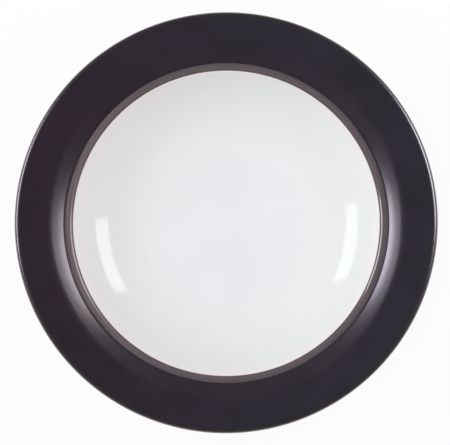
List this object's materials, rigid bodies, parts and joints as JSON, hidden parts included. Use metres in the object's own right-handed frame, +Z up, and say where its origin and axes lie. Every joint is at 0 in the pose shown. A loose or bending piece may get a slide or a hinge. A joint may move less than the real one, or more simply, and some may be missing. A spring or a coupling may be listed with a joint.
{
  "type": "rimmed soup plate",
  "caption": "Round rimmed soup plate in glazed stoneware: glossy white dished well, brown band at its lip, wide dark satin rim with a rounded edge, and a turned foot ring.",
  "frame": {"origin": "middle of the foot ring, on the table that the plate stands on", "axes": "+Z up out of the well along the axis on which the plate was turned; X and Y lie in the table's plane, and the plate is alike all round"},
  "size_m": [0.25, 0.25, 0.04],
  "materials": {
    "bare_stoneware": "matte fired clay",
    "white_glaze": "glossy",
    "brown_band": "semi-matte, brushed",
    "dark_rim_glaze": "satin",
    "dark_underside_glaze": "satin"
  },
  "bodies": {
    "root": {"stoneware_body": "bare_stoneware", "well_glaze": "white_glaze", "shoulder_band": "brown_band", "rim_glaze": "dark_rim_glaze", "underside_glaze": "dark_underside_glaze", "base_glaze": "dark_underside_glaze"}
  },
  "joints": []
}
